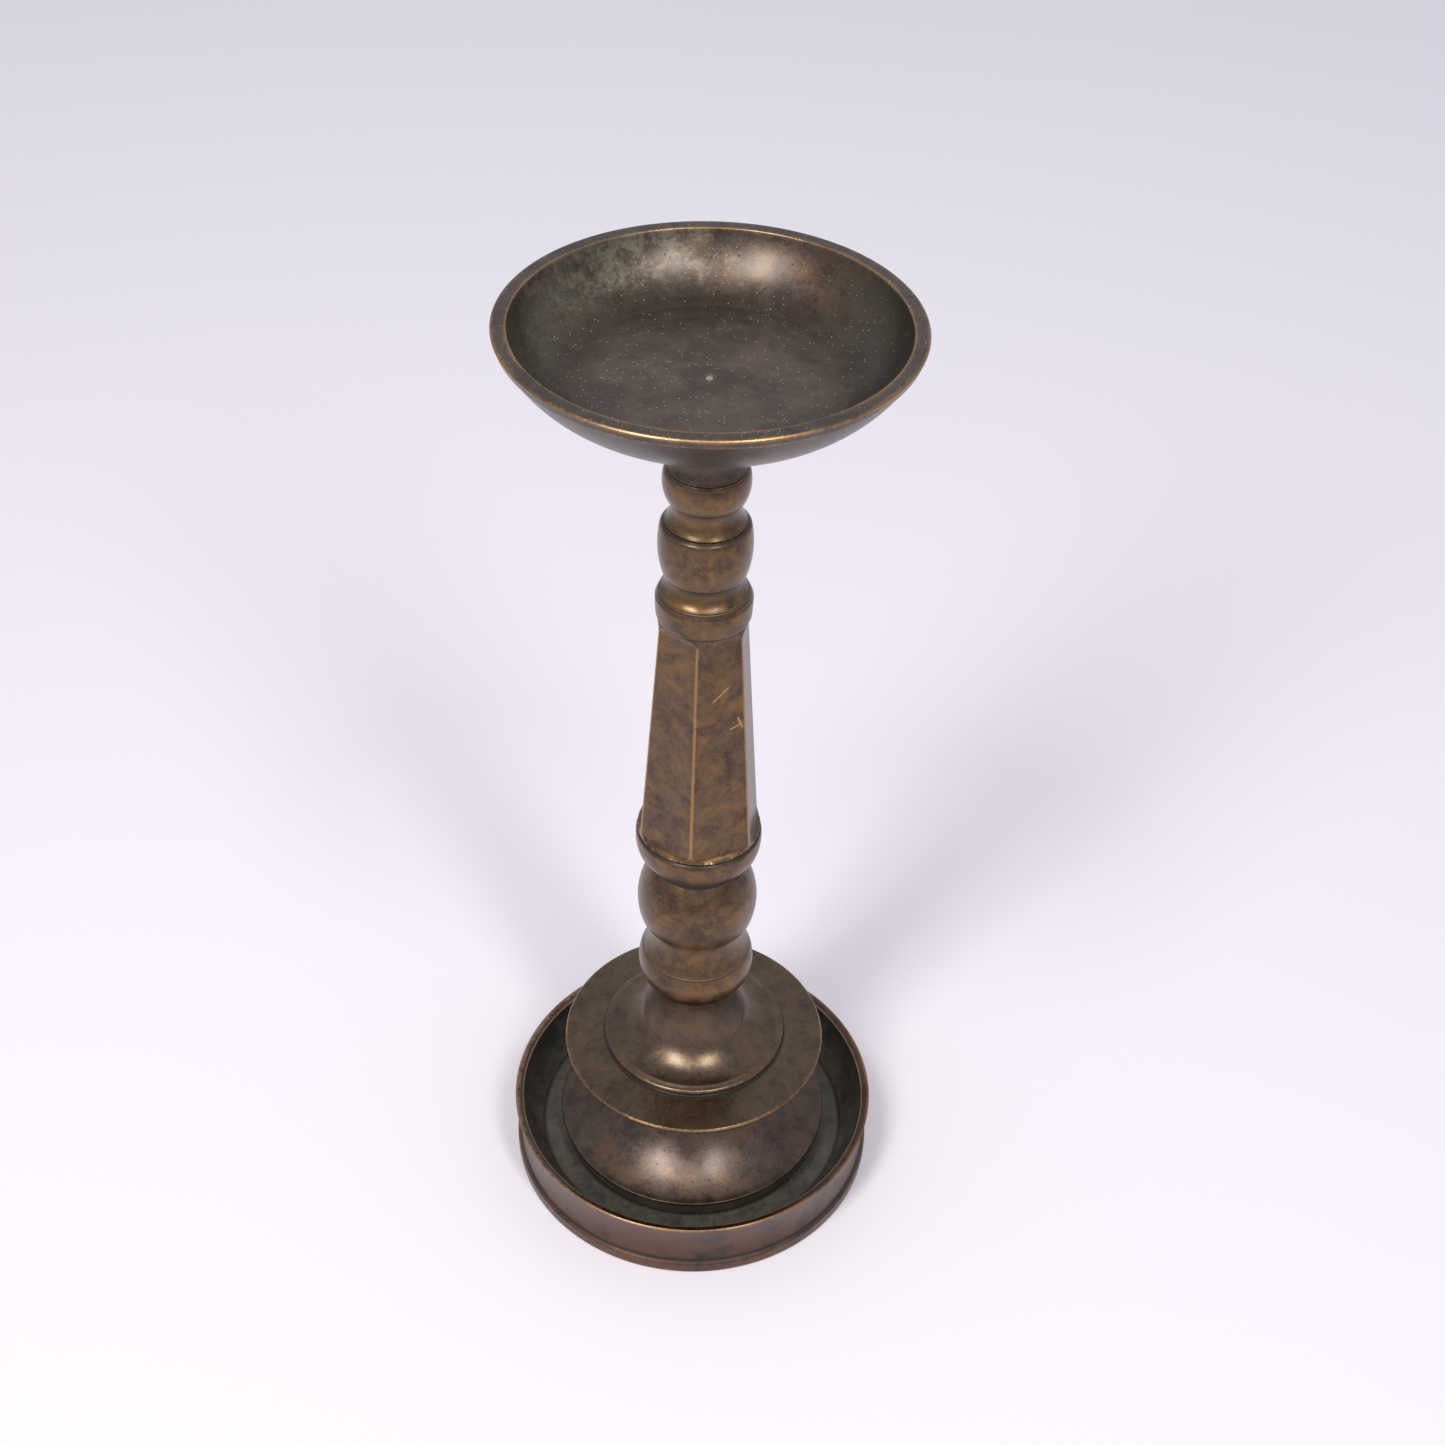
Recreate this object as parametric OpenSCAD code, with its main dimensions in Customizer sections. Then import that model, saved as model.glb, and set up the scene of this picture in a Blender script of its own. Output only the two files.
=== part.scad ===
// Turned brass pillar candle stand.
// Cast sections are turned, stacked on one central rod and pulled together by a nut under the base.
// Origin: centre of the foot ring on the ground. +Z runs up the stem, and -Y is the front.

/* [Section heights] */
// Height of the gutter floor of the tray above the ground
gutter_z = 7.5; // [7.2:0.1:8.5]
// Height of the tray's rim above the ground
tray_h = 21.6; // [20:0.1:24]
// Height of the flared drum that stands in the tray
drum_h = 39; // [36:0.5:42]
// Height of the bell, from the drum to its neck
bell_h = 29; // [27:0.5:31]
// Height of the lower bead
lower_bead_h = 14.2; // [13:0.1:15]
// Height of the ball knop with its coved foot
ball_h = 41.1; // [39:0.1:43]
// Height of the ring under the shaft
ring_h = 8.2; // [7.5:0.1:9.5]
// Height of the six-sided shaft with its collar
shaft_h = 86.3; // [80:0.1:95]
// Height of the barrel bead with its coved foot
barrel_h = 22.1; // [21:0.1:24]
// Height of the top bead with its coved foot
top_bead_h = 16.6; // [16:0.1:18]
// Height of the dish with its collar
dish_h = 41.2; // [40:0.1:44]

/* [Base] */
// Radius of the tray's rim
tray_r = 58.3; // [57:0.1:62]
// Radius of the foot flange
flange_r = 58; // [56.5:0.1:61]
// Radius of the drum's rim
drum_r = 43.2; // [42:0.1:44]
// Radius of the bell's lip
lip_r = 41.2; // [40:0.1:42.5]
// Wall thickness of the drum and the bell
wall = 3.1; // [2.6:0.1:3.6]

/* [Stem] */
// Radius of the lower bead's edge
lower_bead_r = 17.1; // [16.5:0.1:18]
// Radius of the ring under the shaft
ring_r = 18.5; // [18:0.1:20]
// Corner radius of the shaft at the lower end of its flats
shaft_foot_r = 18; // [17.5:0.1:18]
// Corner radius of the shaft at the upper end of its flats
shaft_head_r = 12.9; // [12.5:0.1:13]
// Radius of the shaft's collar
collar_r = 13.3; // [13.1:0.1:14]
// Radius of the barrel bead's edge
barrel_r = 12.2; // [11.8:0.1:12.8]
// Radius of the top bead's edge
top_bead_r = 11.4; // [11:0.1:12]
// Degrees by which one corner of the shaft stands left of the front
shaft_turn = 6; // [0:1:30]

/* [Dish] */
// Outer radius of the dish
dish_r = 53.5; // [50:0.5:58]
// Width of the dish's flat rim
rim_w = 3.9; // [3:0.1:4.5]
// Depth of the dish at its centre
dish_depth = 15.6; // [14:0.1:16]

/* [Rod and fastening] */
// Radius of the tie rod
rod_r = 4; // [3.5:0.1:4.2]
// Radius of the bore through each section
bore_r = 4.5; // [4.4:0.1:5]
// Radius of the washer
washer_r = 12; // [10:0.5:14]
// Thickness of the washer
washer_h = 1.6; // [1.2:0.1:2]
// Width across the flats of the nut
nut_af = 13; // [12:0.5:14]
// Height of the nut
nut_h = 6.5; // [5:0.1:6.5]

/* [Hidden] */
$fn = 96;

// Levels at which the sections stand on each other
drum_z = gutter_z;
bell_z = drum_z + drum_h;
lower_bead_z = bell_z + bell_h;
ball_z = lower_bead_z + lower_bead_h;
ring_z = ball_z + ball_h;
shaft_z = ring_z + ring_h;
barrel_z = shaft_z + shaft_h;
top_bead_z = barrel_z + barrel_h;
dish_z = top_bead_z + top_bead_h;

// Locating spigots and the sockets that take them
spigot_r = 6.8;
spigot_h = 1.5;
socket_r = 6.9;
socket_h = 1.8;

// Height of the small bevel on the foot of each section
foot_bevel = 0.3;

// Tray: floor thickness, foot ring width, and the raised centre that holds the drum and hides the nut
floor_t = 2.9;
foot_w = 3.9;
plateau_r = 33.2;
plateau_h = 6.9;
recess_r = 28;

// Drum: radius of its foot inside, of its neck, and the level at which its flare ends in the rim
drum_bore_r = 33.4;
drum_neck_r = 20.5;
drum_neck_low = 25.5;
drum_rim_h = 7.7;

// Shaft: levels between which the flats run, the radii they run out on at the foot and at the head, and
// how far the flats' own corners would stand outside the taper, which leaves the arrises softened
flat_low = 3.2;
flat_high = 75.4;
foot_runout_r = 2.4;
head_runout_r = 3;
foot_arris = 0.5;
head_arris = 0.3;
round_foot_r = 18.1;

// Rod: its ends, and the blind socket in the dish
rod_low = 1.8;
rod_top = dish_z + 17.8;
rod_bevel = 0.8;
dish_socket_r = rod_r + 0.05;
dish_socket_h = 19.8;
nut_bore_r = rod_r + 0.05;

// Points on an arc from p to q. A positive sag swells to the left of the direction drawn.
function bow(p, q, sag, steps = 12) =
    let (
        d = q - p,
        l = norm(d),
        r = (l * l / 4 + sag * sag) / (2 * abs(sag)),
        s = sign(sag),
        c = (p + q) / 2 + [-d[1], d[0]] / l * s * (abs(sag) - r),
        start = atan2(p[1] - c[1], p[0] - c[0]),
        turn = -s * 2 * asin(l / 2 / r)
    )
    [for (i = [0:steps]) c + r * [cos(start + turn * i / steps), sin(start + turn * i / steps)]];

// Bore side of a stem section of height h, drawn upwards: a spigot below and a socket above
function core(h) = [
    [spigot_r, 0], [spigot_r, -spigot_h], [bore_r, -spigot_h],
    [bore_r, h - socket_h], [socket_r, h - socket_h], [socket_r, h]
];

// Top of a bead at height h: the seat for the foot above, and the ledge that falls out to the edge
function ledge(seat_r, edge_r, h, fall) = [[seat_r, h], [edge_r - 0.15, h - fall + 0.3], [edge_r, h - fall]];

// Foot of a section: the bottom corner is bevelled, which leaves a fine joint line
function foot(r) = [[r, foot_bevel], [r - foot_bevel, 0]];

// Turns an outline of [radius, height] points about the stem's axis, standing on level z
module turned(z, outline) {
    translate([0, 0, z])
        rotate_extrude()
            polygon(outline);
}

module base_tray() {
    rim_low = tray_h - 1.6;
    band_low = 4.8;
    inner_rim_r = tray_r - 2.7;
    foot_r = flange_r - foot_w;
    under = gutter_z - floor_t;
    top = gutter_z + plateau_h;
    color("#4f4234")
        turned(0, concat(
            [[inner_rim_r, tray_h - 0.5], [tray_r - 0.5, tray_h], [tray_r, tray_h - 0.4]],
            bow([tray_r - 0.3, rim_low], [flange_r - 1.1, band_low], -0.8),
            [[flange_r - 0.2, band_low - 0.8], [flange_r, band_low - 1.2], [flange_r, 0.4], [flange_r - 0.4, 0]],
            [[foot_r, 0], [foot_r - 0.7, under], [recess_r + 5, under], [recess_r, top - floor_t]],
            [[bore_r, top - floor_t], [bore_r, top]],
            [[plateau_r - 0.5, top], [plateau_r, top - 0.5], [plateau_r, gutter_z]],
            bow([inner_rim_r - 6.5, gutter_z], [inner_rim_r, tray_h - 0.5], -2.2)
        ));
}

module base_drum() {
    mouth_r = drum_neck_r - wall;
    color("#5c4a36")
        turned(drum_z, concat(
            [[drum_neck_r, drum_h]],
            bow([drum_neck_r, drum_neck_low], [drum_r - 1.7, drum_rim_h], -2.9, 20),
            [[drum_r - 0.2, drum_rim_h - 0.3], [drum_r, drum_rim_h - 0.7], [drum_r, drum_rim_h - 1.1]],
            [[drum_r - 1.6, 0.4], [drum_r - 2, 0], [drum_bore_r, 0]],
            bow([drum_bore_r, drum_rim_h - 0.2], [mouth_r, drum_neck_low - 1], 2.4, 20),
            [[mouth_r, drum_h]]
        ));
}

module bell_dome() {
    neck_r = 12.6;
    shoulder = [15.9, 12.2];
    ring = [27.6, 5.7];
    groove = [28.1, 3.6];
    hub_low = 15.5;
    spigot_out = drum_neck_r - wall - 0.2;
    spigot_in = spigot_out - 2.4;
    color("#62503b")
        turned(bell_z, concat(
            [[socket_r, bell_h], [neck_r, bell_h]],
            bow([neck_r, bell_h - 3], shoulder, -0.75),
            bow([shoulder[0] + 0.15, shoulder[1] - 0.4], [ring[0] - 1.2, ring[1] + 0.5], -1.35, 16),
            bow(ring, [28.5, 4], 0.5, 6),
            [groove, [groove[0] + 0.5, groove[1] - 0.2]],
            [[lip_r - 0.5, 2.4], [lip_r, 1.9], [lip_r - 0.1, 1.2], [lip_r - 0.7, 0.3], [lip_r - 1.2, 0]],
            [[spigot_out, 0], [spigot_out, -2.4], [spigot_in, -2.4], [spigot_in, -0.2]],
            bow([spigot_in, 1.2], [9.5, hub_low], 0.9),
            [[bore_r, hub_low], [bore_r, bell_h - socket_h], [socket_r, bell_h - socket_h]]
        ));
}

module lower_bead() {
    h = lower_bead_h;
    color("#7a5a35")
        turned(lower_bead_z, concat(
            ledge(16.5, lower_bead_r, h, 1.6),
            bow([lower_bead_r, h - 1.6], [14.2, foot_bevel], 1.7),
            [[13.9, 0]],
            core(h)
        ));
}

module ball_knop() {
    h = ball_h;
    color("#6b5138")
        turned(ball_z, concat(
            bow([14.6, h], [12.7, h - 5.2], -0.4, 6),
            bow([12.7, h - 5.2], [16.75, 13.5], 2.96, 20),
            [[16.3, 12.9], [15.3, 12.7]],
            bow([14.9, 12.4], [16.5, foot_bevel], -1.3),
            foot(16.5),
            core(h)
        ));
}

module shaft_ring() {
    h = ring_h;
    color("#8a6a3c")
        turned(ring_z, concat(
            bow([ring_r - 0.9, h], [ring_r, h - 1.8], 0.35, 6),
            bow([ring_r, h - 1.8], [ring_r - 0.6, 0.9], 0.3),
            bow([ring_r - 0.6, 0.9], [ring_r - 1.9, 0], 0.3, 4),
            core(h)
        ));
}

// Round blank of the shaft, from its collar down to its round foot
function shaft_blank() = concat(
    ledge(12.4, collar_r, shaft_h, 1.9),
    bow([collar_r, shaft_h - 2.1], [collar_r - 0.15, shaft_h - 6.9], 0.06),
    bow([collar_r - 0.15, shaft_h - 6.9], [shaft_head_r - 0.15, shaft_h - 8.3], 0.12, 4),
    [[shaft_head_r - 0.15, shaft_h - 8.8], [shaft_head_r, flat_high + 0.5], [shaft_foot_r, flat_low + 0.5]],
    [[round_foot_r, 0.8], [round_foot_r - 0.4, 0.3], [round_foot_r - 0.8, 0]],
    core(shaft_h)
);

// Cuts one flat of the taper, with a small radius where it runs out at each end
module flat_cut() {
    head_a = (shaft_head_r + head_arris) * cos(30);
    foot_a = (shaft_foot_r + foot_arris) * cos(30);
    rise = flat_high - flat_low;
    lean = atan2(foot_a - head_a, rise);
    reach = norm([rise, foot_a - head_a]);
    width = 30;
    depth = 8;
    translate([foot_a, 0, flat_low])
        rotate([0, -lean, 0]) {
            translate([0, -width / 2, 0])
                cube([depth, width, reach]);
            for (end = [[0, foot_runout_r], [reach, head_runout_r]])
                translate([end[1], 0, end[0]])
                    rotate([90, 0, 0])
                        cylinder(h = width, r = end[1], center = true);
        }
}

module hex_shaft() {
    color("#73583a")
        difference() {
            turned(shaft_z, shaft_blank());
            for (i = [0:5])
                translate([0, 0, shaft_z])
                    rotate(60 * i - shaft_turn)
                        flat_cut();
        }
}

module barrel_bead() {
    h = barrel_h;
    color("#7d5f3a")
        turned(barrel_z, concat(
            ledge(11.2, barrel_r, h, 1.1),
            bow([barrel_r, h - 1.1], [11.55, 6.7], 0.85),
            [[11.1, 6.4]],
            bow([10.8, 6.2], [12.4, foot_bevel], -1.1),
            foot(12.4),
            core(h)
        ));
}

module top_bead() {
    h = top_bead_h;
    color("#775b39")
        turned(top_bead_z, concat(
            ledge(10.7, top_bead_r, h, 1.2),
            bow([top_bead_r, h - 1.2], [10.55, 7.7], 0.65),
            [[10.1, 7.4]],
            bow([9.9, 7.2], [11.2, foot_bevel], -1),
            foot(11.2),
            core(h)
        ));
}

module candle_dish() {
    top = dish_h;
    rim_in_r = dish_r - rim_w;
    floor_h = top - dish_depth;
    collar_h = 7.2;
    color("#5b4c40")
        turned(dish_z, concat(
            [[rim_in_r, top], [dish_r - 0.4, top], [dish_r, top - 0.4], [dish_r - 0.75, top - 2.5]],
            bow([dish_r - 1.35, top - 2.8], [23.5, top - 21.3], 4.4, 24),
            bow([18, top - 21.8], [10.7, collar_h + 0.3], -2.6),
            bow([10.4, collar_h], [10.7, foot_bevel], -0.9),
            foot(10.7),
            [[spigot_r, 0], [spigot_r, -spigot_h], [dish_socket_r, -spigot_h]],
            [[dish_socket_r, dish_socket_h], [0, dish_socket_h + 1.2], [0, floor_h - 0.8]],
            [[1.1, floor_h], [1.5, floor_h + 0.25], [2.1, floor_h + 0.2], [2.5, floor_h], [31, floor_h]],
            bow([35.5, floor_h + 0.6], [rim_in_r - 0.2, top - 0.4], -2.3, 16)
        ));
}

module tie_rod() {
    length = rod_top - rod_low;
    color("#77797c")
        turned(rod_low, [
            [0, 0], [rod_r - rod_bevel, 0], [rod_r, rod_bevel],
            [rod_r, length - rod_bevel], [rod_r - rod_bevel, length], [0, length]
        ]);
}

// Level of the underside of the raised centre, which the washer and the nut pull against
washer_z = gutter_z + plateau_h - floor_t - washer_h;

module base_washer() {
    color("#8c8f92")
        translate([0, 0, washer_z])
            difference() {
                cylinder(h = washer_h, r = washer_r);
                translate([0, 0, -1])
                    cylinder(h = washer_h + 2, r = rod_r + 0.3);
            }
}

module base_nut() {
    color("#9a9a94")
        translate([0, 0, washer_z - nut_h])
            difference() {
                cylinder(h = nut_h, r = nut_af / 2 / cos(30), $fn = 6);
                translate([0, 0, -1])
                    cylinder(h = nut_h + 2, r = nut_bore_r);
            }
}

base_tray();
base_drum();
bell_dome();
lower_bead();
ball_knop();
shaft_ring();
hex_shaft();
barrel_bead();
top_bead();
candle_dish();
tie_rod();
base_washer();
base_nut();
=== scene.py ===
"""Turned brass pillar candle stand: finished meshes, materials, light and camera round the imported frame.

Outlines are [radius, height] in millimetres, drawn down the outside and up the bore, as the CAD sections are.
"""

import math
from types import SimpleNamespace

import bpy
import numpy as np
from mathutils import Matrix, Vector, noise


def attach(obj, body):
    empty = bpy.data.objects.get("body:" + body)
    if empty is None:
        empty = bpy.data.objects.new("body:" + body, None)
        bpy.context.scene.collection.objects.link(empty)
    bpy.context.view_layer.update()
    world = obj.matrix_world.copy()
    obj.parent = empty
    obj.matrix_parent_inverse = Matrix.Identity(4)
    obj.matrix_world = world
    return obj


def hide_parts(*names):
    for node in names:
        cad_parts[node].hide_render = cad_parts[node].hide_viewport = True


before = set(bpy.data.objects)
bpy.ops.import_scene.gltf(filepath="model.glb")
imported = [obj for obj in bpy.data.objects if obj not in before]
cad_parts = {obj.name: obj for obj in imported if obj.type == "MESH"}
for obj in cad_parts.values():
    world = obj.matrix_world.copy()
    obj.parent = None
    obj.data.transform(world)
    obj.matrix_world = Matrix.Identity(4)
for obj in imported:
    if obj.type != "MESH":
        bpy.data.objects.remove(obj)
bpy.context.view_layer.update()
MM = 0.001
IN_MM = (1 / MM, 1 / MM, 1 / MM)

# Levels at which the sections stand on each other
DRUM_Z, BELL_Z, LOWER_BEAD_Z, BALL_Z, RING_Z = 7.5, 46.5, 75.5, 89.7, 130.8
SHAFT_Z, BARREL_Z, TOP_BEAD_Z, DISH_Z, TOP_Z = 139.0, 225.3, 247.4, 264.0, 305.2


# ---------------------------------------------------------------- outlines
def bow(p, q, sag, steps=28):
    """Points on an arc from p to q. A positive sag swells to the left of the direction drawn."""
    p, q = np.array(p, float), np.array(q, float)
    d = q - p
    length = np.linalg.norm(d)
    r = (length * length / 4 + sag * sag) / (2 * abs(sag))
    s = math.copysign(1, sag)
    centre = (p + q) / 2 + np.array([-d[1], d[0]]) / length * s * (abs(sag) - r)
    start = math.atan2(p[1] - centre[1], p[0] - centre[0])
    turn = -s * 2 * math.asin(length / 2 / r)
    angles = start + turn * np.linspace(0, 1, steps + 1)
    return [[centre[0] + r * math.cos(a), centre[1] + r * math.sin(a)] for a in angles]


def core(h):
    """Bore side of a stem section of height h: a spigot below and a socket above."""
    return [[6.8, 0], [6.8, -1.5], [4.5, -1.5], [4.5, h - 1.8], [6.9, h - 1.8], [6.9, h]]


def ledge(seat_r, edge_r, h, fall):
    return [[seat_r, h], [edge_r - 0.15, h - fall + 0.3], [edge_r, h - fall]]


def foot(r):
    return [[r, 0.3], [r - 0.3, 0]]


def soften(points, radius):
    """Rounds every corner sharper than about 13 degrees, by at most that radius."""
    pts = [np.array(p, float) for p in points]
    out, n = [], len(pts)
    for i, p in enumerate(pts):
        if p[0] < 1e-6:
            out.append(p)
            continue
        a, b = pts[i - 1] - p, pts[(i + 1) % n] - p
        la, lb = np.linalg.norm(a), np.linalg.norm(b)
        if min(la, lb) < 1e-6:
            continue
        bend = math.pi - math.acos(max(-1, min(1, float(a @ b) / la / lb)))
        if bend < 0.23:
            out.append(p)
            continue
        reach = min(radius * math.tan(min(bend, 2.4) / 2), 0.42 * la, 0.42 * lb)
        start, end = p + a / la * reach, p + b / lb * reach
        for t in np.linspace(0, 1, 6):
            out.append((1 - t) ** 2 * start + 2 * t * (1 - t) * p + t * t * end)
    return out


def spread(points, step, bore_r):
    """Adds points so that no side is longer than step, or 8 mm inside bore_r."""
    out, n = [], len(points)
    for i in range(n):
        a, b = np.array(points[i]), np.array(points[(i + 1) % n])
        if np.linalg.norm(b - a) < 1e-6:
            continue
        inner = max(a[0], b[0])
        limit = 1e9 if inner < 1e-6 else 8 if inner < bore_r else step
        parts = max(1, math.ceil(np.linalg.norm(b - a) / limit))
        out += [a + (b - a) * k / parts for k in range(parts)]
    return np.array(out)


def bends(line, reach):
    """How far each point of a closed outline, drawn clockwise, stands proud of its neighbours within reach.

    Also returns the points' distances along the outline and their outward directions.
    """
    ring = np.vstack([line, line[:1]])
    side = np.linalg.norm(np.diff(ring, axis=0), axis=1)
    at = np.concatenate([[0], np.cumsum(side)])
    total = at[-1]

    def where(s):
        s = np.mod(s, total)
        return np.stack([np.interp(s, at, ring[:, 0]), np.interp(s, at, ring[:, 1])], 1)

    here = at[:-1]
    before, after = where(here - 0.15), where(here + 0.15)
    tangent = after - before
    tangent /= np.linalg.norm(tangent, axis=1)[:, None] + 1e-9
    outward = np.stack([-tangent[:, 1], tangent[:, 0]], 1)
    proud = np.zeros(len(line))
    for share in (-1, -0.5, 0.5, 1):
        proud -= ((where(here + share * reach) - line) * outward).sum(1)
    return proud / (4 * reach), here, outward


# ---------------------------------------------------------------- meshes
def finish_mesh(name, verts, faces, data, material, body, nodes, smooth_deg=40):
    mesh = bpy.data.meshes.new(name + "_turned")
    mesh.from_pydata([tuple(v) for v in verts], [], faces)
    for key, values in data.items():
        mesh.attributes.new(key, "FLOAT", "POINT").data.foreach_set("value", np.asarray(values, np.float32))
    mesh.materials.append(material)
    mesh.shade_smooth()
    mesh.set_sharp_from_angle(angle=math.radians(smooth_deg))
    obj = bpy.data.objects.new(name + "_turned", mesh)
    bpy.context.scene.collection.objects.link(obj)
    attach(obj, body)
    if nodes:
        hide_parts(*nodes)
    return obj


def unevenness(x, y, z, amount, seed):
    """Hand-finished surfaces waver slightly; always inwards, so that no piece grows."""
    p = Vector((x * 0.05 + seed, y * 0.05, z * 0.07))
    return -amount * (0.5 + 0.5 * noise.noise(p))


def lathe(name, level, outline, material, body, turns=256, step=1.1, radius=0.25,
          creases=(), shape=None, uneven=0.05, bore_r=7.2):
    """Turns an outline about the stem's axis. The mesh carries edge, pit and along for the materials."""
    line = spread(soften(outline, radius), step, bore_r)
    fine, along, outward = bends(line, 0.5)
    broad, _, _ = bends(line, 2.2)
    edge = np.clip((fine - 0.06) * 3.0, 0, 1)
    # pit: how hollow the outline is, and how near a crease or joint; the materials darken the colour there,
    # grime plus painted shade
    pit = np.clip(-fine * 3.0, 0, 1) * 0.7 + np.clip(-broad * 3.5 - 0.08, 0, 1)
    for r, z in creases:
        gap = np.hypot(line[:, 0] - r, line[:, 1] + level - z)
        pit = np.maximum(pit, np.exp(-((gap / 0.9) ** 2)))
    pit = np.clip(pit, 0, 1)
    axial = [i for i in range(len(line)) if line[i, 0] < 1e-4]
    verts, faces = [], []
    data = {"edge": [], "pit": [], "along": []}
    rows = []
    for i, (r, z) in enumerate(line):
        if i in axial:
            rows.append([len(verts)])
            verts.append((0, 0, (z + level) * MM))
            for key, value in (("edge", edge[i]), ("pit", pit[i]), ("along", along[i])):
                data[key].append(value)
            continue
        row = []
        for k in range(turns):
            a = 2 * math.pi * k / turns
            rr, e = r, edge[i]
            if shape:
                rr, e = shape(r, z, a, e)
            x, y = rr * math.sin(a), -rr * math.cos(a)
            if uneven and r > 7:
                w = unevenness(x, y, z + level, uneven, len(name))
                rr += w * abs(outward[i, 0])
                dz = w * outward[i, 1] if 1 < z + level < TOP_Z + 1 and outward[i, 1] > 0.3 else 0
                x, y = rr * math.sin(a), -rr * math.cos(a)
            else:
                dz = 0
            row.append(len(verts))
            verts.append((x * MM, y * MM, (z + level + dz) * MM))
            data["edge"].append(e)
            data["pit"].append(pit[i])
            data["along"].append(along[i])
        rows.append(row)
    count = len(rows)
    for i in range(count):
        a, b = rows[i], rows[(i + 1) % count]
        if len(a) == 1 and len(b) == 1:
            continue
        for k in range(turns):
            n = (k + 1) % turns
            if len(a) == 1:
                faces.append((a[0], b[k], b[n]))
            elif len(b) == 1:
                faces.append((a[k], b[0], a[n]))
            else:
                faces.append((a[k], b[k], b[n], a[n]))
    return finish_mesh(name, verts, faces, data, material, body, [name])


# ---------------------------------------------------------------- materials
def rgb(code):
    """Linear colour of a hex code."""
    parts = [int(code[i:i + 2], 16) / 255 for i in (0, 2, 4)]
    return [((c + 0.055) / 1.055) ** 2.4 if c > 0.04045 else c / 12.92 for c in parts] + [1]


class Graph:
    """Short names for the shader nodes that the materials share."""

    def __init__(self, name):
        self.material = bpy.data.materials.new(name)
        self.material.use_nodes = True
        self.tree = self.material.node_tree
        self.tree.nodes.clear()
        self.out = self.node("OutputMaterial")

    def node(self, kind, props=None, **inputs):
        made = self.tree.nodes.new("ShaderNode" + kind)
        for key, value in (props or {}).items():
            setattr(made, key, value)
        for key, value in inputs.items():
            numbered = key[0] == "i" and key[1:].isdigit()
            self.put(made.inputs[int(key[1:]) if numbered else key.replace("_", " ")], value)
        return made

    def put(self, socket, value):
        if isinstance(value, bpy.types.NodeSocket):
            self.tree.links.new(value, socket)
        else:
            socket.default_value = value

    def math(self, op, a, b=0.0, c=0.0, clamp=False):
        made = self.node("Math", {"operation": op, "use_clamp": clamp}, i0=a, i1=b)
        if op in ("MULTIPLY_ADD", "SMOOTH_MIN", "SMOOTH_MAX", "COMPARE"):
            self.put(made.inputs[2], c)
        return made.outputs[0]

    def mix(self, share, a, b):
        made = self.node("Mix", {"data_type": "RGBA"}, i0=share, i6=a, i7=b)
        return made.outputs[2]

    def step(self, value, low, high, to_low=0.0, to_high=1.0):
        made = self.node("MapRange", {"interpolation_type": "SMOOTHSTEP"}, i0=value, i1=low, i2=high,
                         i3=to_low, i4=to_high)
        return made.outputs[0]

    def noise(self, place, scale, detail=3.0, rough=0.55, twist=0.0):
        made = self.node("TexNoise", None, Vector=place, Scale=scale, Detail=detail, Roughness=rough,
                         Distortion=twist)
        return made.outputs["Fac"]

    def attribute(self, name):
        return self.node("Attribute", {"attribute_name": name}).outputs["Fac"]

    def inverse(self, value, clamp=False):
        return self.math("SUBTRACT", 1.0, value, clamp=clamp)

    def swing(self, value):
        """A noise value about its middle."""
        return self.math("SUBTRACT", value, 0.5)

    def times(self, *values):
        result = values[0]
        for value in values[1:]:
            result = self.math("MULTIPLY", result, value)
        return result

    def plus(self, *values):
        result = values[0]
        for value in values[1:]:
            result = self.math("ADD", result, value)
        return result


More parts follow.
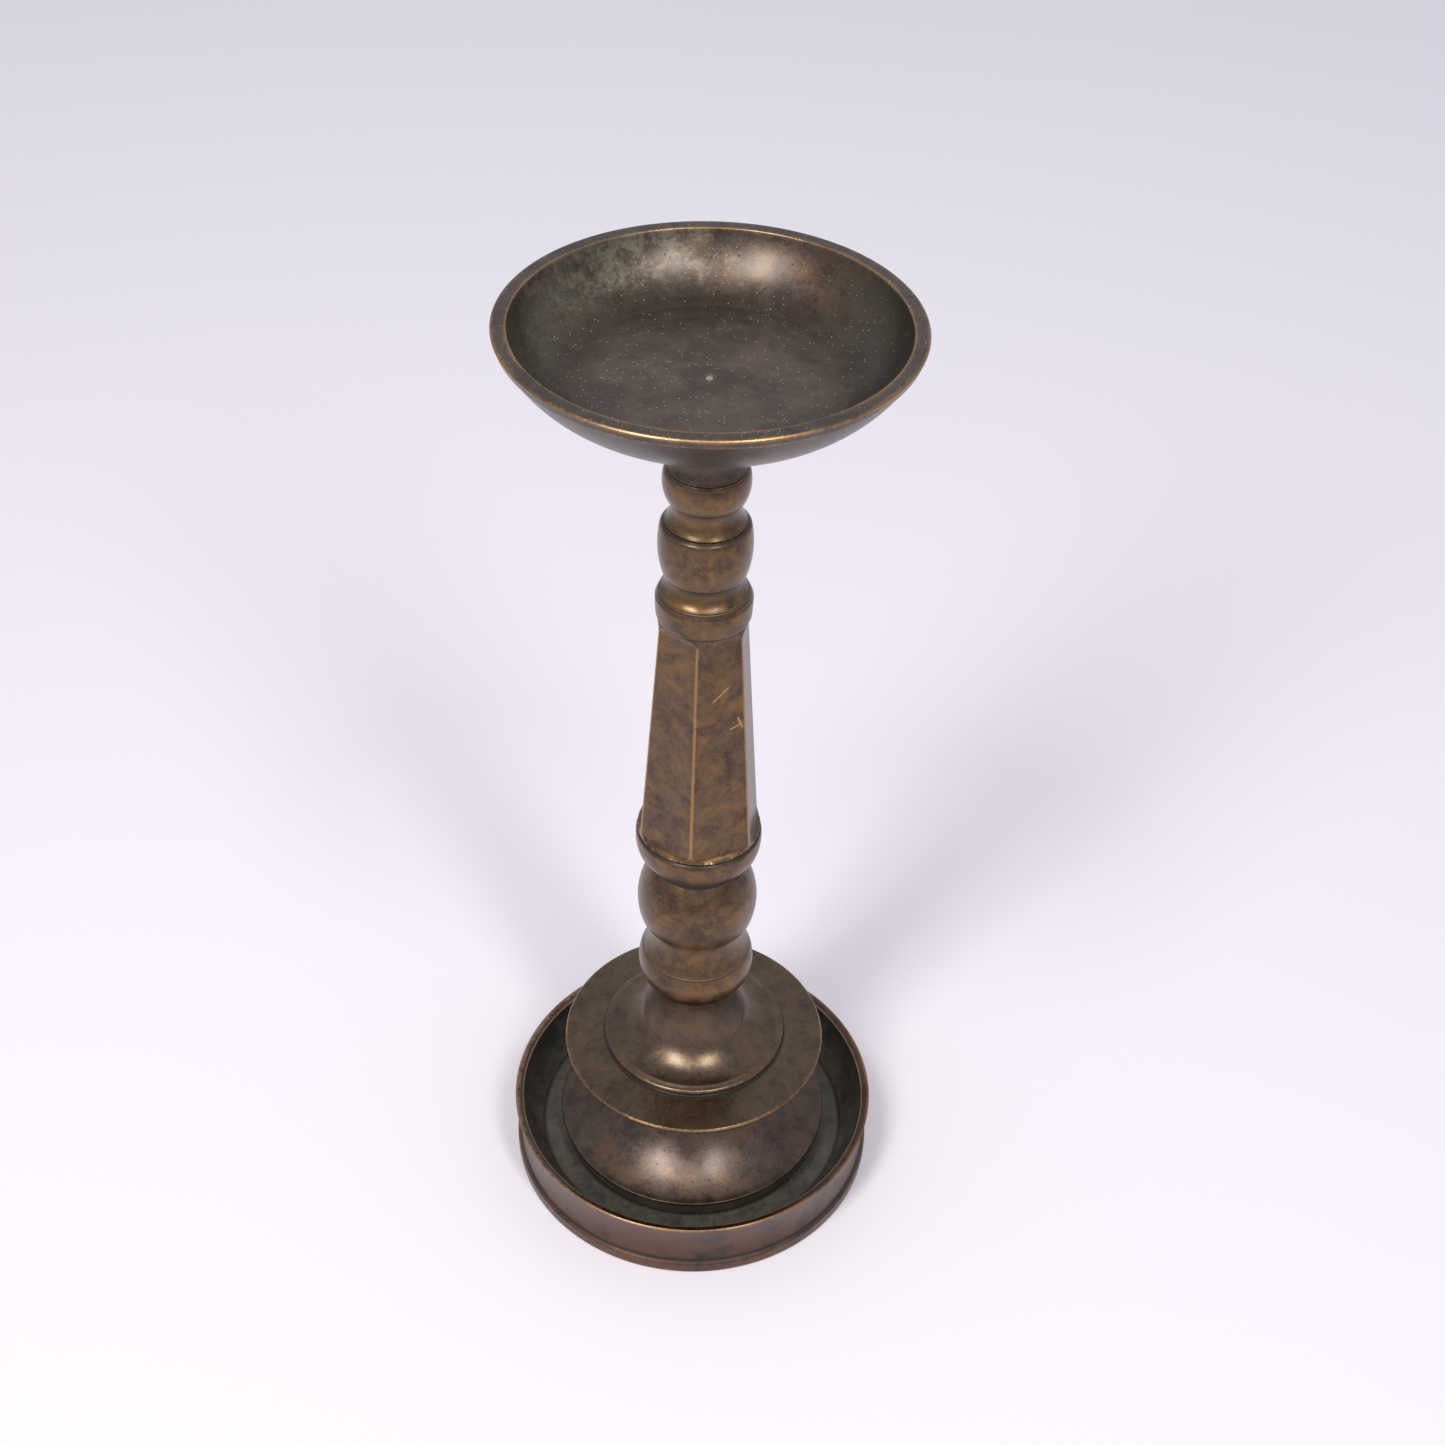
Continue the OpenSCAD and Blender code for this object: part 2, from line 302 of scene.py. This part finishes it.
def aged_brass(name, dark, body, warm, rubbed="a67f52", green="5a5f49", grime_and_shade_colour="1a1612", dust="b8b2a6",
               rough=0.42, warm_share=0.5, green_share=0.2, rub=0.7, dust_share=0.2, rings=0.3, seed=0.0,
               pits=0.7, zone=None):
    """Brown-patinated brass: mottled, rubbed on its edges, darkened in its grooves and at its joints by grime
    plus painted shade, with dust and fine rings.

    zone recolours parts of a piece. It also says how much of the metal a crust covers there.
    """
    g = Graph(name)
    coords = g.node("TexCoord").outputs["Object"]
    place = g.node("Mapping", None, Vector=coords, Scale=IN_MM, Location=(seed, seed * 0.7, -seed)).outputs[0]
    edge, pit, along = g.attribute("edge"), g.attribute("pit"), g.attribute("along")
    split = g.node("SeparateXYZ", None, Vector=coords)
    up = g.node("SeparateXYZ", None, Vector=g.node("NewGeometry").outputs["Normal"]).outputs["Z"]

    big = g.noise(place, 0.05, 4, 0.6, 0.6)
    mid = g.noise(place, 0.19, 6, 0.62, 0.4)
    fine = g.noise(place, 0.9, 5, 0.65)
    grit = g.noise(place, 4.5, 3, 0.6)
    moved = g.node("Mapping", None, Vector=place, Location=(31, 7, 13)).outputs[0]
    blotch = g.noise(moved, 0.11, 7, 0.68, 0.9)
    lines_at = g.node("CombineXYZ", None, X=along, Y=g.times(split.outputs["X"], 25.0),
                      Z=g.times(split.outputs["Y"], 25.0)).outputs[0]
    lines = g.noise(lines_at, 2.6, 4, 0.7)

    mottle = g.plus(g.times(mid, 0.55), g.times(fine, 0.25), g.times(big, 0.2))
    colour = g.mix(g.step(mottle, 0.34, 0.62), rgb(dark), rgb(body))
    warmth = g.math("MULTIPLY", g.step(blotch, 0.47, 0.68), warm_share)
    colour = g.mix(warmth, colour, rgb(warm))
    shade = g.step(g.plus(g.times(fine, 0.5), g.times(big, 0.6), g.times(lines, 0.25 * rings)), 0.45, 0.85)
    colour = g.mix(g.times(shade, 0.35), colour, rgb(body))

    rough_now = g.math("MULTIPLY_ADD", g.swing(fine), 0.22, rough)
    rough_now = g.math("MULTIPLY_ADD", g.swing(mid), 0.16, rough_now)

    cover = 0.0
    if zone:
        x, y, z = split.outputs["X"], split.outputs["Y"], split.outputs["Z"]
        across = g.math("SQRT", g.plus(g.times(x, x), g.times(y, y)))
        at = SimpleNamespace(x=x, y=y, z=z, across=across, up=up, big=big, mid=mid, blotch=blotch, fine=fine)
        colour, rough_now, cover = zone(g, colour, rough_now, at)

    # Grey-green bloom lies on what faces up and beside the grooves
    bloom_at = g.plus(g.times(g.step(up, 0.55, 0.98), 0.5), g.times(pit, 0.55),
                      g.times(g.step(big, 0.45, 0.7), 0.35))
    bloom = g.times(g.step(g.plus(bloom_at, g.times(mid, 0.5)), 0.55, 1.15), green_share)
    colour = g.mix(bloom, colour, rgb(green))

    worn = g.times(g.step(g.plus(edge, g.times(g.swing(fine), 0.9),
                                 g.times(g.swing(big), 0.9)), 0.22, 0.7), rub)
    colour = g.mix(worn, colour, rgb(rubbed))

    # Grime plus painted shade: darker in the outline's hollows and creases and at the joints between
    # sections, less where the edges are rubbed
    crease_dirt_and_shade = g.step(g.plus(pit, g.times(g.swing(mid), 0.5)), 0.25, 0.85)
    crease_dirt_and_shade = g.times(crease_dirt_and_shade, g.inverse(g.times(worn, 0.8)))
    colour = g.mix(g.times(crease_dirt_and_shade, 0.92), colour, rgb(grime_and_shade_colour))

    # Small cast pits, dark, and pale dust grains
    cells = g.node("TexVoronoi", None, Vector=place, Scale=0.42, Randomness=1.0)
    hole = g.inverse(g.step(cells.outputs["Distance"], 0.06, 0.17))
    chosen = g.step(g.node("SeparateColor", None, Color=cells.outputs["Color"]).outputs[0], 0.72, 0.74)
    hole = g.times(hole, chosen, pits)
    colour = g.mix(g.times(hole, 0.8), colour, rgb(grime_and_shade_colour))

    grains = g.node("TexVoronoi", None, Vector=place, Scale=1.15, Randomness=1.0)
    grain = g.inverse(g.step(grains.outputs["Distance"], 0.07, 0.2))
    lot = g.node("SeparateColor", None, Color=grains.outputs["Color"]).outputs[1]
    lot = g.step(g.plus(lot, g.times(g.swing(big), 0.8)), 1.0 - 0.3 * dust_share, 1.0 - 0.2 * dust_share)
    grain = g.times(grain, lot, g.step(up, 0.1, 0.8))
    grain = g.times(grain, min(1.0, dust_share * 2))
    colour = g.mix(grain, colour, rgb(dust))

    # Fine scratches
    stretch = g.node("Mapping", None, Vector=place, Rotation=(0.5, 0.9, 0.3), Scale=(0.9, 0.07, 0.9))
    hairs = g.noise(stretch.outputs[0], 1.3, 2, 0.5, 0.3)
    hair = g.times(g.inverse(g.step(g.math("ABSOLUTE", g.swing(hairs)), 0.0, 0.012)),
                   g.step(big, 0.5, 0.62))
    colour = g.mix(g.times(hair, 0.35), colour, rgb(rubbed))

    rough_now = g.math("SUBTRACT", rough_now, g.times(worn, 0.12))
    rough_now = g.math("MULTIPLY_ADD", crease_dirt_and_shade, 0.3, rough_now)
    rough_now = g.math("MULTIPLY_ADD", bloom, 0.25, rough_now)
    rough_now = g.math("MULTIPLY_ADD", grain, 0.4, rough_now, clamp=True)
    hidden = g.plus(g.times(crease_dirt_and_shade, 0.5), g.times(bloom, 0.35), g.times(grain, 0.9), cover)
    metal = g.inverse(hidden, clamp=True)

    height = g.plus(g.times(mid, 0.10), g.times(fine, 0.028), g.times(grit, 0.007),
                    g.times(lines, 0.012 * rings), g.times(hole, -0.10), g.times(hair, -0.012),
                    g.times(grain, 0.03))
    bump = g.node("Bump", None, Strength=1.0, Distance=0.001, Height=height)
    shader = g.node("BsdfPrincipled", None, Base_Color=colour, Metallic=metal, Roughness=rough_now,
                    Normal=bump.outputs[0], Coat_Weight=0.45, Coat_Roughness=0.28)
    g.put(g.out.inputs[0], shader.outputs[0])
    return g.material


def steel(name, base, dark, rough, rust_share, seed):
    """Zinc-grey steel of the hidden fastening, dulled and lightly rusted."""
    g = Graph(name)
    coords = g.node("TexCoord").outputs["Object"]
    place = g.node("Mapping", None, Vector=coords, Scale=IN_MM, Location=(seed, 0, seed)).outputs[0]
    mid, fine = g.noise(place, 0.35, 5, 0.6), g.noise(place, 2.2, 4, 0.6)
    pit = g.attribute("pit")
    colour = g.mix(g.step(mid, 0.4, 0.65), rgb(base), rgb(dark))
    rust = g.times(g.step(g.plus(g.noise(place, 0.5, 6, 0.7), g.times(pit, 0.25)), 0.56, 0.72), rust_share)
    colour = g.mix(rust, colour, rgb("6b3a1e"))
    # Grime plus painted shade: darker in the outline's hollows and at its corners
    colour = g.mix(g.times(pit, 0.6), colour, rgb("1c1a18"))
    roughness = g.math("MULTIPLY_ADD", fine, 0.2, g.math("MULTIPLY_ADD", rust, 0.4, rough), clamp=True)
    bump = g.node("Bump", None, Strength=1.0, Distance=0.001,
                  Height=g.plus(g.times(fine, 0.02), g.times(rust, 0.05)))
    shader = g.node("BsdfPrincipled", None, Base_Color=colour, Roughness=roughness, Normal=bump.outputs[0],
                    Metallic=g.inverse(rust))
    g.put(g.out.inputs[0], shader.outputs[0])
    return g.material


def dish_zone(g, colour, rough_now, at):
    """Dusty grey-brown floor, a browner zone where the wall rises, and patina that differs round the wall; a
    painted highlight high on the back-left of the wall, and at the centre mark a painted highlight inside a
    ring of painted shade.
    """
    inside = g.times(g.step(at.up, 0.05, 0.35), g.step(at.z, 0.285, 0.2885),
                     g.inverse(g.step(at.across, 0.0492, 0.0498)))
    floor = g.times(inside, g.inverse(g.step(at.across, 0.026, 0.038)))
    wall = g.times(inside, g.step(at.across, 0.031, 0.040))
    earth = g.step(g.plus(g.times(at.mid, 0.6), g.times(at.big, 0.5)), 0.4, 0.7)
    earth = g.mix(earth, rgb("40332d"), rgb("58493f"))
    colour = g.mix(g.times(floor, 0.85), colour, earth)
    left = g.plus(g.times(at.x, -13.0), g.times(at.blotch, 1.3), g.times(at.fine, 0.5))
    left = g.times(wall, g.step(left, 1.0, 1.6))
    colour = g.mix(g.times(left, 0.42), colour, rgb("686a54"))
    corner = g.plus(g.times(at.x, 11.0), g.times(at.y, 9.0), g.times(at.blotch, 1.2), g.times(at.fine, 0.4))
    colour = g.mix(g.times(wall, g.step(corner, 1.25, 1.75), 0.5), colour, rgb("6f5030"))
    right = g.times(wall, g.step(g.plus(at.x, g.times(at.fine, 0.012)), 0.032, 0.05))
    colour = g.mix(g.times(right, 0.55), colour, rgb("434a3c"))
    # Painted highlight: a pale patch high on the back-left of the wall
    pale = g.plus(g.times(at.y, 11.0), g.times(at.x, -9.0), g.times(at.mid, 1.6), g.times(at.fine, 0.9))
    pale = g.times(g.step(at.across, 0.039, 0.044), inside, g.step(pale, 1.75, 2.15))
    colour = g.mix(g.times(pale, 0.32), colour, rgb("96907a"))
    brown = g.times(g.step(at.across, 0.026, 0.034), g.inverse(g.step(at.across, 0.036, 0.042)), inside)
    colour = g.mix(g.times(brown, 0.55), colour, rgb("3a2a21"))
    # Painted shade: a dark ring on the floor round the centre mark
    ring = g.step(g.math("ABSOLUTE", g.math("SUBTRACT", at.across, 0.0045)), 0.0008, 0.0036, 1.0, 0.0)
    colour = g.mix(g.times(ring, floor, 0.6), colour, rgb("352a26"))
    # Painted highlight: a pale dot in the middle of the centre mark
    painted_centre_highlight = g.inverse(g.step(at.across, 0.0006, 0.0013))
    colour = g.mix(g.times(painted_centre_highlight, inside, 0.7), colour, rgb("b5aa9c"))
    rough_now = g.math("MULTIPLY_ADD", floor, 0.14, rough_now)
    return colour, rough_now, g.times(floor, 0.35)


# Ends of the scratches on the shaft, as x, z, x, z in metres
SCRATCHES = (
    (0.0030, 0.1955, 0.0078, 0.2000),
    (0.0078, 0.1850, 0.0118, 0.1866),
    (0.0100, 0.1890, 0.0116, 0.1846),
)


def shaft_zone(g, colour, rough_now, at):
    """Three bright scratches on the right-hand front face of the shaft."""
    front = g.step(at.y, -0.001, -0.003)
    for x0, z0, x1, z1 in SCRATCHES:
        dx, dz = x1 - x0, z1 - z0
        length = math.hypot(dx, dz)
        from_x, from_z = g.math("SUBTRACT", at.x, x0), g.math("SUBTRACT", at.z, z0)
        share = g.plus(g.times(from_x, dx / length ** 2), g.times(from_z, dz / length ** 2))
        off = g.math("SUBTRACT", g.times(from_x, dz / length), g.times(from_z, dx / length))
        off = g.plus(g.math("ABSOLUTE", off), g.times(g.math("ABSOLUTE", g.swing(at.fine)), 0.0006))
        mark = g.times(g.step(off, 0.0002, 0.00045, 1.0, 0.0), g.step(share, 0.0, 0.12),
                       g.step(share, 0.8, 1.0, 1.0, 0.0))
        colour = g.mix(g.times(mark, front, 0.75), colour, rgb("b98d5e"))
    return colour, rough_now, 0.0


def tray_zone(g, colour, rough_now, at):
    """Grey-green crust inside the tray, scraped pale in places on the rim, and a redder band outside."""
    inside = g.times(g.inverse(g.step(at.across, 0.0556, 0.0562)), g.step(at.z, 0.0070, 0.0074))
    crust = g.step(g.plus(g.times(at.mid, 0.6), g.times(at.fine, 0.5)), 0.4, 0.7)
    crust = g.mix(crust, rgb("36362f"), rgb("54524a"))
    colour = g.mix(g.times(inside, 0.9), colour, crust)
    band = g.times(g.step(at.across, 0.0562, 0.0566), g.step(g.plus(at.big, g.times(at.mid, 0.5)), 0.5, 0.85))
    colour = g.mix(g.times(band, 0.6), colour, rgb("6e4a3a"))
    scrape = g.step(g.plus(at.fine, g.times(at.mid, 0.7), g.times(at.x, -4.0)), 0.98, 1.08)
    scrape = g.times(g.step(at.z, 0.0209, 0.0212), scrape)
    colour = g.mix(g.times(scrape, 0.6), colour, rgb("9c9288"))
    rough_now = g.math("MULTIPLY_ADD", inside, 0.16, rough_now)
    return colour, rough_now, g.times(inside, 0.6)


STEM = dict(dark="3c2f25", body="6c543c", warm="916934", green="62645a")
brass_dish = aged_brass("aged_brass_dish", "3c332c", "564b42", "6b5138", rough=0.4, green_share=0.15,
                        warm_share=0.3, dust_share=1.0, rings=0.7, seed=3.0, zone=dish_zone)
brass_beads = aged_brass("aged_brass_beads", rough=0.33, seed=11.0, **STEM)
brass_shaft = aged_brass("aged_brass_shaft", rough=0.38, seed=23.0, zone=shaft_zone, **STEM)
brass_ball = aged_brass("aged_brass_ball", rough=0.35, seed=37.0, **STEM)
brass_bell = aged_brass("aged_brass_bell", "473b32", "675643", "7a5c38", rough=0.31, warm_share=0.4,
                        green_share=0.05, seed=47.0, rub=0.5, pits=0.15)
brass_drum = aged_brass("aged_brass_drum", "3a312c", "584a42", "7a5636", rough=0.36, warm_share=0.5,
                        green_share=0.08, seed=53.0, rub=0.12)
brass_tray = aged_brass("aged_brass_tray", "352d29", "54443b", "6b4839", rough=0.42, warm_share=0.4,
                        green_share=0.1, seed=61.0, rub=0.5, zone=tray_zone)
rod_steel = steel("rod_steel", "8b8c8e", "5e5f61", 0.38, 0.35, 5.0)
zinc_steel = steel("zinc_steel", "9b9c98", "74756f", 0.42, 0.3, 9.0)


# ---------------------------------------------------------------- the stand
def hexed(apothem_at, centre_deg, low, high, r_least, low_round, high_round, blend):
    """A lathe shape that six flats cut.

    apothem_at gives the flats' apothem at a height. A radius ends them below low and above high.
    """

    def shape(r, z, a, e):
        if r < r_least or not low - low_round < z < high + high_round:
            return r, e
        apothem = apothem_at(min(max(z, low), high))
        past, round_r = (low - z, low_round) if z < low else (z - high, high_round)
        apothem += round_r - math.sqrt(max(round_r * round_r - past * past, 0)) if past > 0 else 0
        off = (math.degrees(a) - centre_deg + 30) % 60 - 30
        flat = apothem / math.cos(math.radians(off))
        near = max(blend - abs(flat - r), 0) / blend
        beyond = flat - r if past > 0 else 0
        worn = 0.9 * math.exp(-((max(r - flat, beyond, 0)) / 0.1) ** 2)
        return min(flat, r) - near * near * blend / 4, max(e, worn)

    return shape


def thread(r, depth, pitch, spans):
    """A lathe shape with a screw thread over the spans of height."""

    def shape(radius, z, a, e):
        if abs(radius - r) > 0.02 or not any(lo < z < hi for lo, hi in spans):
            return radius, e
        turn = (z / pitch - a / (2 * math.pi)) % 1
        return radius - depth * (1 - abs(2 * turn - 1)) * 0.98, max(e, abs(2 * turn - 1) ** 4)

    return shape


# Radius and height at which the sections of the stem meet
JOINT_LINES = [(12.6, LOWER_BEAD_Z), (16.5, BALL_Z), (16.5, RING_Z), (17.8, SHAFT_Z),
               (12.4, BARREL_Z), (11.2, TOP_BEAD_Z), (10.7, DISH_Z)]

lathe("base_tray", 0, [
    [55.6, 21.1], [57.8, 21.6], [58.3, 21.2], *bow([58, 20], [56.9, 4.8], -0.8),
    [57.8, 4], [58, 3.6], [58, 0.4], [57.6, 0], [54.1, 0], [53.4, 4.6], [33, 4.6], [28, 11.5], [4.5, 11.5],
    [4.5, 14.4], [32.7, 14.4], [33.2, 13.9], [33.2, 7.5], *bow([49.1, 7.5], [55.6, 21.1], -2.2)],
    brass_tray, "stand", turns=360, creases=[(41.2, 7.5), (49, 7.5)], uneven=0.08)

lathe("base_drum", DRUM_Z, [
    [20.5, 39], *bow([20.5, 25.5], [41.5, 7.7], -2.9, 40), [43, 7.4], [43.2, 7], [43.2, 6.6], [41.6, 0.4],
    [41.2, 0], [33.4, 0], *bow([33.4, 7.5], [17.4, 24.5], 2.4), [17.4, 39]],
    brass_drum, "stand", turns=320, step=0.9,
    creases=[(20.5, BELL_Z), (41.4, 7.5)], uneven=0.08)

lathe("bell_dome", BELL_Z, [
    [6.9, 29], [12.6, 29], *bow([12.6, 26], [15.9, 12.2], -0.75), *bow([16.05, 11.8], [26.4, 6.2], -1.35, 30),
    *bow([27.6, 5.7], [28.5, 4], 0.5, 12), [28.1, 3.6], [28.6, 3.4], [40.7, 2.4], [41.2, 1.9], [41.1, 1.2],
    [40.5, 0.3], [40, 0], [17.2, 0], [17.2, -2.4], [14.8, -2.4], [14.8, -0.2],
    *bow([14.8, 1.2], [9.5, 15.5], 0.9), [4.5, 15.5], [4.5, 27.2], [6.9, 27.2]],
    brass_bell, "stand", turns=320, step=0.7,
    creases=[(12.6, LOWER_BEAD_Z), (28.2, 50.1), (20.5, BELL_Z)], uneven=0.08)

lathe("lower_bead", LOWER_BEAD_Z, [
    *ledge(16.5, 17.1, 14.2, 1.6), *bow([17.1, 12.6], [14.2, 0.3], 1.7), [13.9, 0], *core(14.2)],
    brass_ball, "stand", step=0.5, creases=JOINT_LINES)

lathe("ball_knop", BALL_Z, [
    *bow([14.6, 41.1], [12.7, 35.9], -0.4, 14), *bow([12.7, 35.9], [16.75, 13.5], 2.96, 48), [16.3, 12.9],
    [15.3, 12.7], *bow([14.9, 12.4], [16.5, 0.3], -1.3), *foot(16.5), *core(41.1)],
    brass_ball, "stand", step=0.6, creases=[*JOINT_LINES, (15.3, BALL_Z + 12.6)])

lathe("shaft_ring", RING_Z, [
    *bow([17.6, 8.2], [18.5, 6.4], 0.35, 14), *bow([18.5, 6.4], [17.9, 0.9], 0.3, 12),
    *bow([17.9, 0.9], [16.6, 0], 0.3, 8), *core(8.2)],
    brass_shaft, "stand", step=0.4, creases=JOINT_LINES)

# The shaft's flats: the heights they run between, and the radii at which their own corners would stand
FLAT_LOW, FLAT_HIGH = 3.2, 75.4
CORNER_LOW, CORNER_HIGH = 18.5, 13.2
# Degrees from the front to the middle of the nearest flat
FLAT_TURN = 24


def flat_apothem(z):
    share = (z - FLAT_LOW) / (FLAT_HIGH - FLAT_LOW)
    return (CORNER_LOW + (CORNER_HIGH - CORNER_LOW) * share) * math.cos(math.pi / 6)


lathe("hex_shaft", SHAFT_Z, [
    *ledge(12.4, 13.3, 86.3, 1.9), *bow([13.3, 84.2], [13.15, 79.4], 0.06),
    *bow([13.15, 79.4], [12.75, 78], 0.12, 10), [12.75, 77.5], [13.05, 75.9], [18.25, 3.7], [18.1, 0.8],
    [17.7, 0.3], [17.3, 0], *core(86.3)],
    brass_shaft, "stand", turns=360, step=0.42, creases=JOINT_LINES, uneven=0.06,
    shape=hexed(flat_apothem, FLAT_TURN, FLAT_LOW, FLAT_HIGH, 11, 2.4, 3, 0.1))

lathe("barrel_bead", BARREL_Z, [
    *ledge(11.2, 12.2, 22.1, 1.1), *bow([12.2, 21], [11.55, 6.7], 0.85), [11.1, 6.4],
    *bow([10.8, 6.2], [12.4, 0.3], -1.1), *foot(12.4), *core(22.1)],
    brass_beads, "stand", step=0.5, creases=[*JOINT_LINES, (11.0, BARREL_Z + 6.4)])

lathe("top_bead", TOP_BEAD_Z, [
    *ledge(10.7, 11.4, 16.6, 1.2), *bow([11.4, 15.4], [10.55, 7.7], 0.65), [10.1, 7.4],
    *bow([9.9, 7.2], [11.2, 0.3], -1), *foot(11.2), *core(16.6)],
    brass_beads, "stand", step=0.5, creases=[*JOINT_LINES, (10.1, TOP_BEAD_Z + 7.4)])

lathe("candle_dish", DISH_Z, [
    [49.6, 41.2], [53.1, 41.2], [53.5, 40.8], [52.75, 38.7], *bow([52.15, 38.4], [23.5, 19.9], 4.4, 48),
    *bow([18, 19.4], [10.7, 7.5], -2.6), *bow([10.4, 7.2], [10.7, 0.3], -0.9), *foot(10.7),
    [6.8, 0], [6.8, -1.5], [4.05, -1.5], [4.05, 19.8], [0, 21], [0, 24.8], [1.1, 25.6], [1.5, 25.85],
    [2.1, 25.8], [2.5, 25.6], [31, 25.6], *bow([35.5, 26.2], [49.4, 40.8], -2.3, 36)],
    brass_dish, "dish", turns=400, step=1.2, creases=[(10.7, DISH_Z), (20.5, DISH_Z + 19.7)],
    uneven=0.07, bore_r=4.2)

ROD_LOW, ROD_LENGTH = 1.8, 280.0
lathe("tie_rod", ROD_LOW, [
    [0, ROD_LENGTH], [3.2, ROD_LENGTH], [4, ROD_LENGTH - 0.8], [4, 258], [4, 12], [4, 0.8], [3.2, 0], [0, 0]],
    rod_steel, "stand", turns=40, step=0.16, radius=0.1, uneven=0, bore_r=3.9,
    shape=thread(4, 0.62, 1.25, [(0.8, 12), (258, ROD_LENGTH - 0.8)]))

lathe("base_washer", 9.9, [[12, 1.6], [12, 0], [4.3, 0], [4.3, 1.6]], zinc_steel, "stand",
      turns=128, step=0.8, radius=0.4, uneven=0, bore_r=3)

lathe("base_nut", 3.4, [[6.3, 6.5], [7.49, 5.8], [7.49, 0.7], [6.3, 0], [4.6, 0], [4.05, 0.5], [4.05, 6],
                        [4.6, 6.5]], zinc_steel, "stand", turns=180, step=0.25, radius=0.1,
      uneven=0, bore_r=3, shape=hexed(lambda z: 6.5, 0, -1, 8, 6.4, 0.5, 0.5, 0.12))


# ---------------------------------------------------------------- floor, light and camera
def make_floor():
    g = Graph("paper_sweep")
    coords = g.node("TexCoord").outputs["Object"]
    back = g.node("SeparateXYZ", None, Vector=coords).outputs["Y"]
    cloud = g.noise(coords, 1.6, 2)
    # Painted shading: the floor's colour is darker towards the front and paler towards the back
    colour = g.mix(g.step(back, -0.5, 0.9), rgb("e2dee4"), rgb("f2f0f6"))
    colour = g.mix(g.times(cloud, 0.15), colour, rgb("e9e6ec"))
    shader = g.node("BsdfPrincipled", None, Base_Color=colour, Roughness=0.9)
    g.put(g.out.inputs[0], shader.outputs[0])
    mesh = bpy.data.meshes.new("floor")
    count, radius = 96, 7.0
    ring = [(radius * math.cos(2 * math.pi * k / count), radius * math.sin(2 * math.pi * k / count), 0)
            for k in range(count)]
    mesh.from_pydata(ring, [], [list(range(count))])
    mesh.materials.append(g.material)
    floor = bpy.data.objects.new("floor", mesh)
    bpy.context.scene.collection.objects.link(floor)


def softbox(name, azimuth, elevation, distance, size, watts, colour):
    """A square area light that faces the middle of the stand. Azimuth 0 is the front, and 90 the right."""
    data = bpy.data.lights.new(name, "AREA")
    data.shape, data.size, data.size_y = "RECTANGLE", size[0], size[1]
    data.energy, data.color = watts, colour
    obj = bpy.data.objects.new(name, data)
    a, e = math.radians(azimuth), math.radians(elevation)
    target = Vector((0, 0, 0.15))
    way = Vector((math.sin(a) * math.cos(e), -math.cos(a) * math.cos(e), math.sin(e)))
    obj.location = target + way * distance
    obj.rotation_euler = (-way).to_track_quat("-Z", "Y").to_euler()
    bpy.context.scene.collection.objects.link(obj)


def make_world():
    world = bpy.data.worlds.new("studio")
    bpy.context.scene.world = world
    world.use_nodes = True
    back = world.node_tree.nodes["Background"]
    back.inputs["Color"].default_value = rgb("ebe9f1")
    back.inputs["Strength"].default_value = 0.75


def make_camera():
    data = bpy.data.cameras.new("camera")
    data.sensor_width, data.lens = 36, 51.768
    data.clip_start, data.clip_end = 0.02, 60
    camera = bpy.data.objects.new("camera", data)
    bpy.context.scene.collection.objects.link(camera)
    pitch, roll = math.radians(40.162), math.radians(1.854)
    forward = Vector((0, math.cos(pitch), -math.sin(pitch)))
    level = Vector((1, 0, 0))
    top = level.cross(forward)
    right = level * math.cos(roll) + top * math.sin(roll)
    above = top * math.cos(roll) - level * math.sin(roll)
    turn = Matrix((right, above, -forward)).transposed()
    camera.matrix_world = Matrix.Translation((0.005975, -0.44709, 0.55576)) @ turn.to_4x4()
    bpy.context.scene.camera = camera


make_floor()
make_world()
softbox("softbox_left", -36, 52, 1.1, (0.2, 0.56), 7, (1.0, 0.98, 0.95))
softbox("softbox_right", 30, 52, 1.1, (0.13, 0.5), 4.4, (1.0, 0.98, 0.96))
make_camera()
bpy.context.scene.view_settings.view_transform = "Standard"
